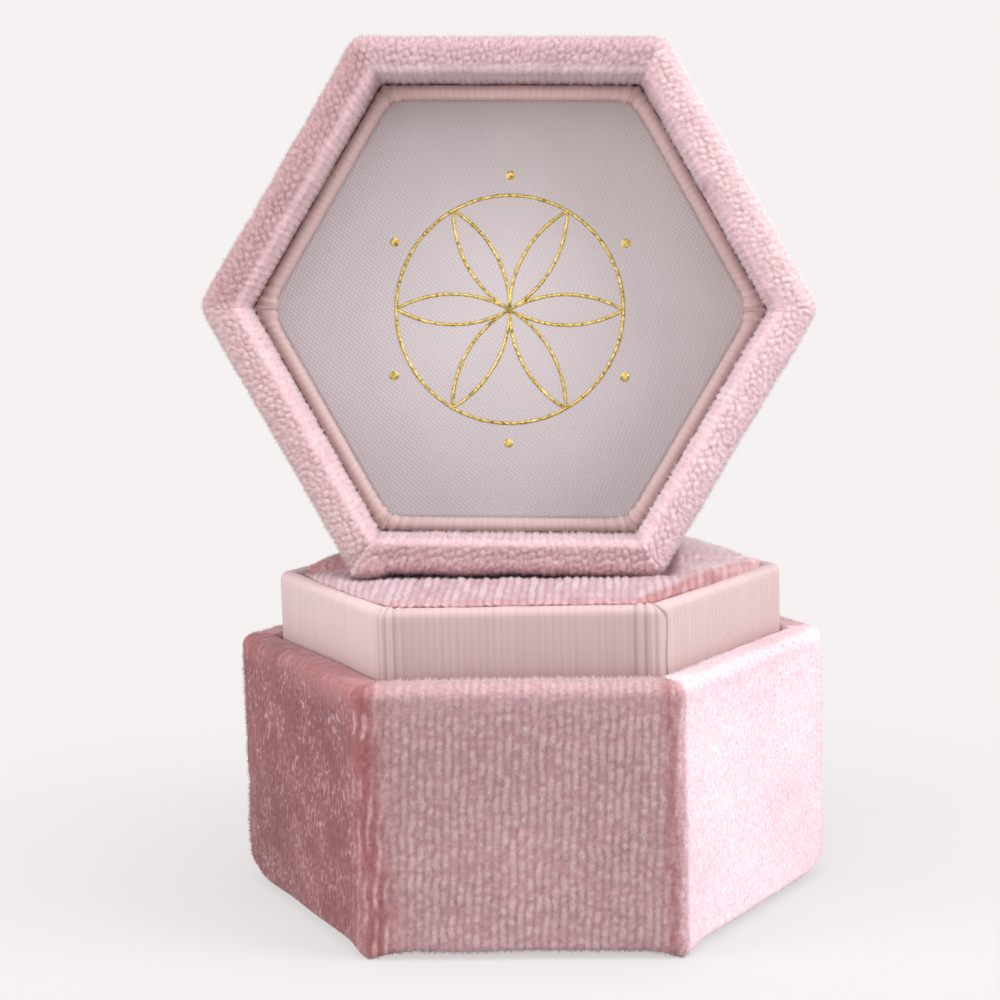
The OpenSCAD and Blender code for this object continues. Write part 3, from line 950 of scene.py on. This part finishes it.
def lid_coat(s, p):
    """The lid's colour and relief: a light ribbed band along the opening, and pebbled tufts on the rim, with
    painted light and shade on both.
    """
    s = around(s)
    half = half_width(p)
    x, y, z = np.moveaxis(p, -1, 0)
    reach = (1 + 0.8 * z / np.maximum(np.hypot(x, y), 1)) / 0.68
    u, v = x * C15 - y * S15, x * S15 + y * C15
    pebble = cells(u * reach, v * reach, 127) ** 0.65
    cloud = clouds(p, 2.2, 125)
    rows = tufts(s, half + z, 131, 1.6, 0.0, 0.1)
    band = step(OPENING + 1.1 + 0.25 * cloud, OPENING + 0.5, half)
    rim = step(3.0, 1.5, z)
    level = pebble * (1 - band) * rim + rows * (band * rim * 0.55 + (1 - rim))
    colour = nap_painted_shade(by_face(s, lid_colour_and_light_by_face, 1.0), 0.24 + 0.76 * level + 0.1 * cloud)
    # painted shade in the creases between the pebbled tufts, mottled by a cloud
    mottle_and_crease_shade = np.clip(0.66 - 1.25 * pebble + 0.22 * cloud, 0, 1) * (1 - band) * rim
    colour = mix(colour, colour * (0.86, 0.72, 0.74), mottle_and_crease_shade)
    # the band in its own light tone, with each face's painted light and shade
    band_painted_light = by_face(s, lid_band_colour_and_light, 1.0) * (0.88 + 0.14 * rows)[..., None]
    colour = mix(colour, band_painted_light, 0.85 * band * step(6.5, 4.0, z))
    # painted light: the rim's lower side, next to the pad, is painted lighter and rosier, standing in for the
    # light the pad throws up onto it
    under = step(4.9 * CORNER, 5.1 * CORNER, np.abs(s)) * step(OUTER - 2.2, OUTER - 0.5, half) * rim
    colour = colour * (1 + under[..., None] * (0.5, 0.45, 0.46))
    # the strip's lapped end at the lower left corner has a painted highlight along its edge and a painted
    # shadow beside it
    lap_end = (1 - band) * rim
    colour = mix(colour, (0.82, 0.73, 0.75), 0.4 * lap_end * bell(s, -5 * CORNER - 0.7, 0.8))
    colour = times(colour, 1 - 0.22 * lap_end * bell(s, -5 * CORNER + 0.9, 0.8))
    return np.clip(colour, 0, 1), level


P, N, S, T, Q = sweep(lid_corners, edge_radius=1.9, outer_half=OUTER, along=128, turn=9)
half, z = half_width(P), P[..., 2]
colour, level = lid_coat(S, P)
lump = clouds(P, 4.5, 121) * 0.12
shown = ((half > OPENING - 0.3) & (z < 1.0)) | ((half < OPENING + 0.1) & (z < 6.5)) | (half > BOARD + 0.2)
P = pushed(P, N, lump * step(6.5, 4.0, z) + 0.2 * (level - 0.5), shown)
# the strip's end laps over the lower left corner, and its turned-in edge is nicked half way up the right
past = -(S + 5 * CORNER)
flap = 0.5 * step(-0.15, 0.1, past) * step(4.0, 1.2, past) * step(OPENING + 0.6, OPENING + 1.2, half)
P = pushed(P, N, flap, shown)
nicked = step(SIDE - 1.4, SIDE - 0.2, S) * step(SIDE + 5.0, SIDE + 1.0, S)
nick = 0.4 * nicked * step(OPENING + 1.0, OPENING + 0.3, half) * shown
P = P + outward(P) * nick[..., None]
lid_skin = make("lid_velvet_skin", P, Q, "lid", GROUND, colour * GROUND_PAINTED_SHADE, lid=True)
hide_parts("lid_side_velvet")

normals, mid, face_n = face_places(P, Q)
mid_half = half_width(mid)
rim_side = (mid[:, 2] < 1.3) & (mid_half > OPENING - 0.2) & (face_n[:, 2] < 0.2)
keep = (mid_half > BOARD + 0.25) * 0.8 + ((mid_half < OPENING + 0.3) & (mid[:, 2] < 7.0)) * 0.9
keep = np.where(rim_side, 2.0, keep)
root, normal, turnings = sample(P, Q, density=25, seed=141, keep=keep, values=(normals, turning(S)))
rng, count = chance(142), len(root)
colour, level = lid_coat(way_round(turnings), root)
half = half_width(root)
facing = step(0.4, 0.95, -normal[:, 2])
comb = outward(root) * (facing * np.where(half > OPENING + 1.4, 0.6, -1))[:, None]
comb = comb + UP * (1 - facing)[:, None]
comb = comb + 0.45 * rng.standard_normal(comb.shape)
inner = step(OPENING + 0.4, OPENING, half)
length = 0.32 + 0.14 * level + 0.1 * rng.random(count) + 0.2 * inner * step(3.0, 1.0, root[:, 2])
length = length * (1 - 0.45 * facing * (1 - inner))
lift = np.clip(np.radians(45 + 15 * level + 13 * rng.standard_normal(count)), 0.2, 1.4)
fade = 1.0 + 0.09 * rng.standard_normal(count)
width = 0.05 + 0.04 * rng.random(count)
normal = unit(normal)
strands("lid_pile", "lid", root, normal, comb, length, width, lift, colour, fade, lid=True)

# ---- the velvet panel on the lid's top
heights = [(h, 16.25) for h in (0, 8, 16, 22, 24.5)]
heights += [(25.0, 16.35), (25.12, 16.6), (24.95, 16.85), (24.6, 16.95)]
heights += [(24.6 - k * 0.3, 16.97) for k in range(1, 83)]
D, DQ = disc(BOARD, radius=1.6, step_size=0.3, heights=heights)


def panel_coat(x, y):
    level = tufts(x, y, 151)
    cloud = fbm(x / 5, y / 5, 0, 152)
    colour = nap_painted_shade(mix(ROSE, PALE, np.clip(0.3 + 0.4 * cloud, 0, 1)), 0.1 + level)
    return np.clip(colour, 0, 1), level, cloud


colour, level, cloud = panel_coat(D[..., 0], D[..., 1])
D[..., 2] += np.where(D[..., 2] > 16.8, 0.1 * cloud + 0.15 * level - 0.02, 0)
# the ground under the pile is painted darker, as the shade between the pile
panel = make("lid_top_skin", D, DQ, "lid", GROUND, colour * 0.9, lid=True)
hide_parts("lid_top_velvet")
normals, mid, _ = face_places(D, DQ)
root, normal = sample(D, DQ, density=18, seed=153, keep=mid[:, 2] > 16.7, values=(normals,))
rng, count = chance(154), len(root)
colour, level, _ = panel_coat(root[:, 0], root[:, 1])
comb = np.array([0.1, 1.0, 0.0]) + 0.3 * rng.standard_normal((count, 3))
length = 0.34 + 0.16 * level + 0.1 * rng.random(count)
width = 0.05 + 0.04 * rng.random(count)
lift = np.clip(np.radians(42 + 15 * level + 12 * rng.standard_normal(count)), 0.2, 1.4)
fade = 1 + 0.1 * rng.standard_normal(count)
normal = unit(normal)
strands("lid_top_pile", "lid", root, normal, comb, length, width, lift, colour, fade, True)

# ---- the lid's lining
trim_corners = [
    (TRIM_INNER, TRIM_DEPTH, 0.66, 0.2),
    (TRIM, TRIM_DEPTH, 0.6, 0.35),
    (TRIM, PANEL_CARD, 0, 0.6),
    (TRIM_CARD, PANEL_CARD, 0, 2.0),
    (TRIM_CARD, TRIM_DEPTH + TRIM_RIBBON, 0, 0.5),
    (TRIM_FOLD, TRIM_DEPTH + TRIM_RIBBON, 0, 2.0),
    (TRIM_FOLD, PANEL_CARD, 0, 0.6),
    (TRIM_INNER, PANEL_CARD, 0, 0.5),
]
P, N, S, T, Q = sweep(trim_corners, edge_radius=1.1, outer_half=TRIM, along=120, turn=12)
away = from_corner(S)
along_ribbon = S * TRIM / OUTER
near = np.exp(-np.abs(away) / 2.2)
ribs = np.cos(2 * pi * away / 1.3 + 0.5 * noise(along_ribbon / 3, 0, 0, 9))
visible = (N[..., 2] < 0.3) & (P[..., 2] < 11)
push = (0.11 * near + 0.012) * ribs + 0.03 * noise(along_ribbon / 2.2, T, 0, 160)
P = pushed(P, N, push, visible)
# it gathers inward round the corners, most at the two sides
tip = 0.35 + 0.4 * bell(np.abs(around(S)), TIP, CORNER)
gather = tip * bell(away, 0, 1.7) * step(TRIM - 0.2, TRIM_FOLD - 0.1, half_width(P)) * (P[..., 2] < 11)
P = P - outward(P) * gather[..., None]
# painted light on the part that stands at the top and faces down, and painted shade following the gathered
# ribs
facing_down_painted_light = bell(around(S), 0, 1.3 * CORNER)
tint = np.array([0.64, 0.48, 0.465]) * (0.94 + 0.06 * ribs * near + 0.48 * facing_down_painted_light)[..., None]
weave = np.stack([along_ribbon, T, 0 * S + 0.2], -1)
trim = make("lid_trim_skin", P, Q, "lid", RIBBON_CLOTH, tint, weave, lid=True)
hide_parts("lid_trim_ribbon")


def crown(p):
    """How far the satin's padded face stands towards the open side."""
    edge = (np.clip(half_width(p), 0, SATIN) / SATIN) ** 3
    return 0.42 * (1 - edge) + 0.02 * fbm(p[..., 0] / 6, p[..., 1] / 6, 0, 170, 2)


heights = [(0, 14.0), (10, 14.0), (SATIN - 0.3, 14.0)] + [(SATIN - 0.02, z) for z in (13.7, 12.0, 10.2)]
heights += [(SATIN + 0.25, 9.4), (SATIN + 0.25, 9.1)]
heights += [(SATIN + 0.2 - 0.5 * k, SATIN_FACE) for k in range(43)]
D, DQ = disc(SATIN, radius=1.0, step_size=0.5, heights=heights)
D[..., 2] -= np.where(D[..., 2] < 9.3, crown(D), 0)
x, y = D[..., 0], D[..., 1]
# painted light and shade on the satin: lighter in its middle and towards its top, darker towards its upper
# right
painted_light_slope = np.clip((x * 0.6 - y * 0.8) / 24, -1, 1)
tint = mix([0.588, 0.543, 0.566], [0.562, 0.498, 0.503], np.clip(0.5 + 0.6 * painted_light_slope, 0, 1))
tint = times(tint, 0.99 - 0.09 * y / 21 + 0.13 * bell(np.hypot(x, y), 0, 11))
weave = np.stack([x, y, 0 * x], -1)
lining = make("lid_satin_skin", D, DQ[:, ::-1], "lid", SATIN_CLOTH, tint, weave, lid=True)
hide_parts("lid_satin")

# ---- the foil motif: six arcs in a circle with a dot between the petals' tips
MOTIF, DOTS_OUT, LINE, DOT = 11.5, 13.5, 0.15, 0.45
foil_points, foil_faces = [], []


def on_satin(x, y, lift):
    """Points of the foil, lift above the satin's crowned face."""
    p = np.stack([x, y], -1)
    return np.stack([x, y, SATIN_FACE - crown(p) - lift - 0.015], 1)


def foil_line(x, y, closed, seed):
    """A raised line of foil through places on the satin."""
    count = len(x)
    ahead = np.stack([np.roll(x, -1) - np.roll(x, 1), np.roll(y, -1) - np.roll(y, 1)], 1)
    if not closed:
        ahead[0], ahead[-1] = ahead[1], ahead[-2]
    ahead = unit(ahead)
    side = np.stack([-ahead[:, 1], ahead[:, 0]], 1)
    wobble = LINE + 0.03 * noise(np.arange(count) / 1.5, seed, 0, 181)
    profile = ((-1.0, 0.01), (-0.55, 0.07), (0.55, 0.07), (1.0, 0.01))
    across = side * wobble[:, None]
    ring = [on_satin(x + across[:, 0] * reach, y + across[:, 1] * reach, lift) for reach, lift in profile]
    start = sum(len(p) for p in foil_points)
    foil_points.append(np.stack(ring, 1).reshape(-1, 3))
    foil_faces.append(start + grid(count, 4, closed)[:, OVER])
    if not closed:
        end = start + (count - 1) * 4
        foil_faces.append([[start, start + 1, start + 2, start + 3], [end + 3, end + 2, end + 1, end]])


def foil_dot(x, y):
    """A raised dot of foil."""
    sides = 24
    start = sum(len(p) for p in foil_points)
    t = np.linspace(0, 2 * pi, sides, endpoint=False)
    profile = ((DOT, 0.01), (0.8 * DOT, 0.07), (0.02, 0.09))
    rings = [on_satin(x + radius * np.cos(t), y + radius * np.sin(t), lift) for radius, lift in profile]
    foil_points.append(np.concatenate(rings))
    foil_faces.append(start + grid(len(profile), sides)[:, OVER])


turn = np.linspace(0, 2 * pi, 400, endpoint=False)
foil_line(MOTIF * np.cos(turn), MOTIF * np.sin(turn), True, 1)
for i in range(6):
    a = radians(60 * i)
    bend = np.linspace(a + radians(120.5), a + radians(239.5), 130)
    x, y = MOTIF * cos(a) + MOTIF * np.cos(bend), MOTIF * sin(a) + MOTIF * np.sin(bend)
    foil_line(x, y, False, 2 + i)
for i in range(6):
    a = radians(60 * i + 90)
    foil_dot(DOTS_OUT * cos(a), DOTS_OUT * sin(a))
points, faces = np.concatenate(foil_points), np.concatenate(foil_faces)
motif = make("foil_motif_skin", points, faces, "lid", FOIL, lid=True)
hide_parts("foil_motif")

# ---- what the CAD shows as it is
for name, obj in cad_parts.items():
    if not obj.hide_render:
        obj.data.materials.clear()
        obj.data.materials.append(FOAM if "foam" in name else GREYBOARD)

# ---- floor, light and camera
BACKGROUND = tuple(float(v) for v in srgb(245, 242, 241))
FLOOR_RADIUS, FLOOR_DROP, RINGS, SPOKES = 260, -0.42, 40, 96
scene = bpy.context.scene
scene.view_settings.view_transform = "Standard"


def stand(name, data):
    obj = bpy.data.objects.new(name, data)
    scene.collection.objects.link(obj)
    return obj


radii = np.linspace(0, 1, RINGS) ** 1.3 * FLOOR_RADIUS
angles = np.linspace(0, 2 * pi, SPOKES, endpoint=False)
floor_points = np.array([[r * cos(a), r * sin(a), FLOOR_DROP] for r in radii for a in angles])
mesh = bpy.data.meshes.new("floor")
mesh.from_pydata((floor_points * MM).tolist(), [], grid(RINGS, SPOKES)[:, OVER].tolist())
floor = stand("floor", mesh)
# it fades out into the background away from the box
n = Nodes("floor")
n.set(Base_Color=(0.57, 0.573, 0.572, 1), Roughness=0.9, Specular_IOR_Level=0.1)
spread = n.new("VectorMath", {0: n.place()}, operation="LENGTH").outputs["Value"]
fade = n.new("MapRange", {0: spread, 1: 0.03, 2: 0.11, 3: 0.6, 4: 1.0}, interpolation_type="SMOOTHSTEP")
clear = n.new("BsdfTransparent").outputs[0]
both = n.new("MixShader", enumerate((fade.outputs[0], n.shader.outputs[0], clear)))
n.put(n.output, 0, both.outputs[0])
mesh.materials.append(n.material)

world = bpy.data.worlds.new("studio")
scene.world = world
n = Tree(world)
seen = n.new("Background", {0: (*BACKGROUND, 1), 1: 1.0})
lit = n.new("Background", {0: (1.0, 0.97, 0.97, 1), 1: 0.64})
to_camera = n.new("LightPath").outputs["Is Camera Ray"]
join = n.new("MixShader", enumerate((to_camera, lit.outputs[0], seen.outputs[0])))
n.new("OutputWorld", {0: join.outputs[0]})


def lamp(name, place, target, size, power, colour=(1, 1, 1)):
    data = bpy.data.lights.new(name, "AREA")
    data.shape = "DISK"
    data.size, data.energy, data.color = size, power, colour
    obj = stand(name, data)
    obj.location = Vector(place) * MM
    obj.rotation_euler = (Vector(place) - Vector(target)).to_track_quat("Z", "Y").to_euler()


lamp("right", (420, -140, 240), (0, 0, 30), 0.3, 1.9, (1.0, 0.98, 0.98))
lamp("left", (-420, -150, 200), (0, 0, 35), 0.35, 1.4, (1.0, 0.98, 0.98))
lamp("top", (40, -60, 480), (0, 0, 30), 0.4, 1.0)
lamp("front", (-60, -440, 190), (0, 0, 35), 0.4, 0.5)

EYE_PLACE, EYE_TILT, LENS = (0.01094, -0.22541, 0.07096), (82.002, 1.499, 3.258), 80.19
camera = bpy.data.cameras.new("camera")
camera.sensor_width = 36.0
camera.lens = LENS
camera.clip_start, camera.clip_end = 0.01, 20.0
eye = stand("camera", camera)
eye.location = EYE_PLACE
eye.rotation_euler = [radians(v) for v in EYE_TILT]
scene.camera = eye
